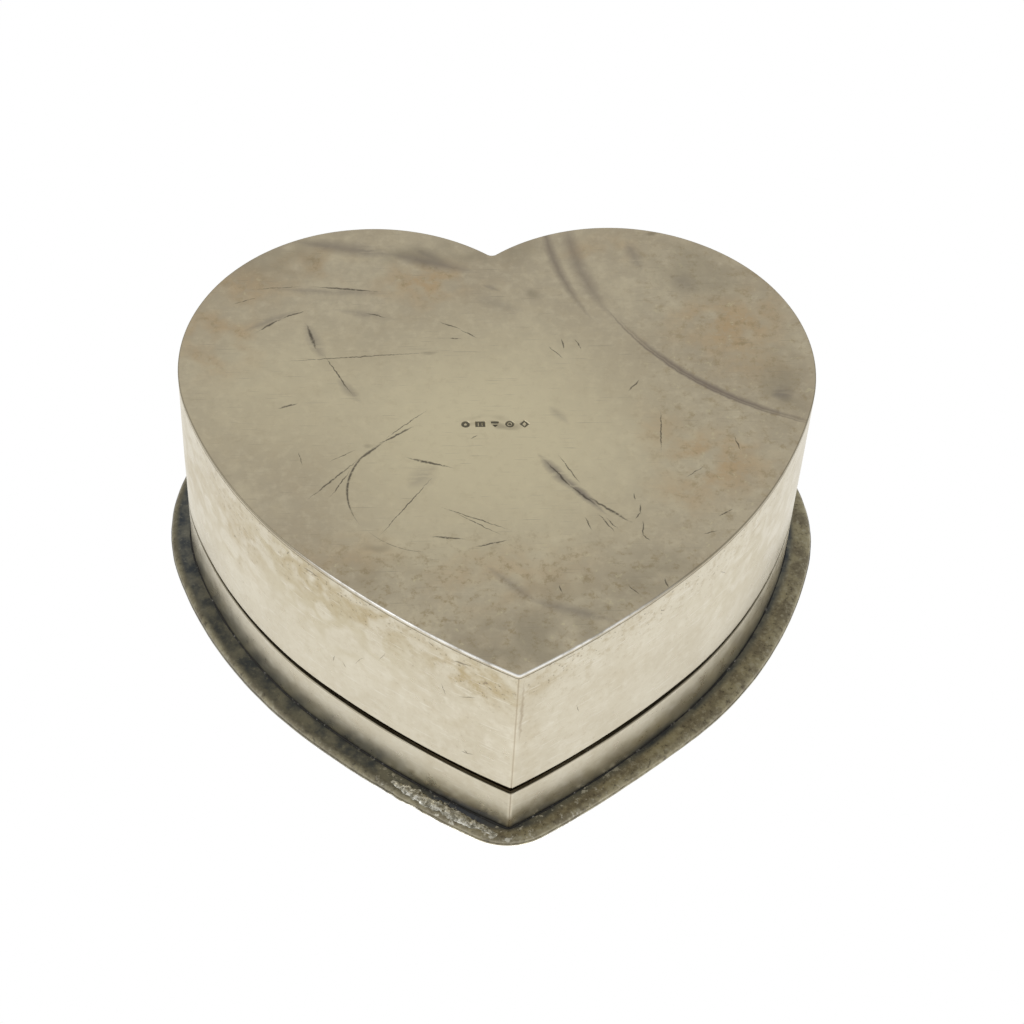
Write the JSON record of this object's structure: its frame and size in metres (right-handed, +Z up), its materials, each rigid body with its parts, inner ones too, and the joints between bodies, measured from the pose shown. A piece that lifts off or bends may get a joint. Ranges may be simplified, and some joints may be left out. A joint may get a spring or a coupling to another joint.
{
  "type": "heart-shaped trinket box",
  "caption": "Heart-shaped sheet-metal trinket box with flat vertical walls, a flat base and an overhanging lid hinged at the cleft.",
  "frame": {"origin": "on the surface the box stands on, under the middle of the whole box", "axes": "+Z up through the lid, -Y towards the heart's point, +Y towards the cleft and hinge, +X to the right seen from the point"},
  "size_m": [0.0896, 0.0824, 0.0345],
  "materials": {
    "base_silver": "old silver, grey-gold tarnish and fine scratches",
    "wall_silver": "polished silver, pitted near the edges",
    "lid_silver": "polished silver, dark tarnish under the rim",
    "bezel_gilt": "thin gilt wash",
    "hinge_silver": "silver, dark in the joints",
    "pin_silver": "hard-drawn wire"
  },
  "bodies": {
    "box": {"base_plate": "base_silver", "wall_left": "wall_silver", "wall_right": "wall_silver", "bezel_left": "bezel_gilt", "bezel_right": "bezel_gilt", "box_leaf": "hinge_silver", "box_knuckle_left": "hinge_silver", "box_knuckle_middle": "hinge_silver", "box_knuckle_right": "hinge_silver", "hinge_pin": "pin_silver", "hinge_plug_left": "hinge_silver", "hinge_plug_right": "hinge_silver"},
    "lid": {"lid_skirt_left": "wall_silver", "lid_skirt_right": "wall_silver", "lid_top": "lid_silver", "lid_leaf": "hinge_silver", "lid_knuckle_left": "hinge_silver", "lid_knuckle_right": "hinge_silver"}
  },
  "joints": [
    {"name": "lid_hinge", "type": "hinge", "parent": "box", "child": "lid", "pos_m": [0, 0.0392, 0.02343], "axis": [-1, 0, 0], "range_deg": [0, 100]}
  ]
}
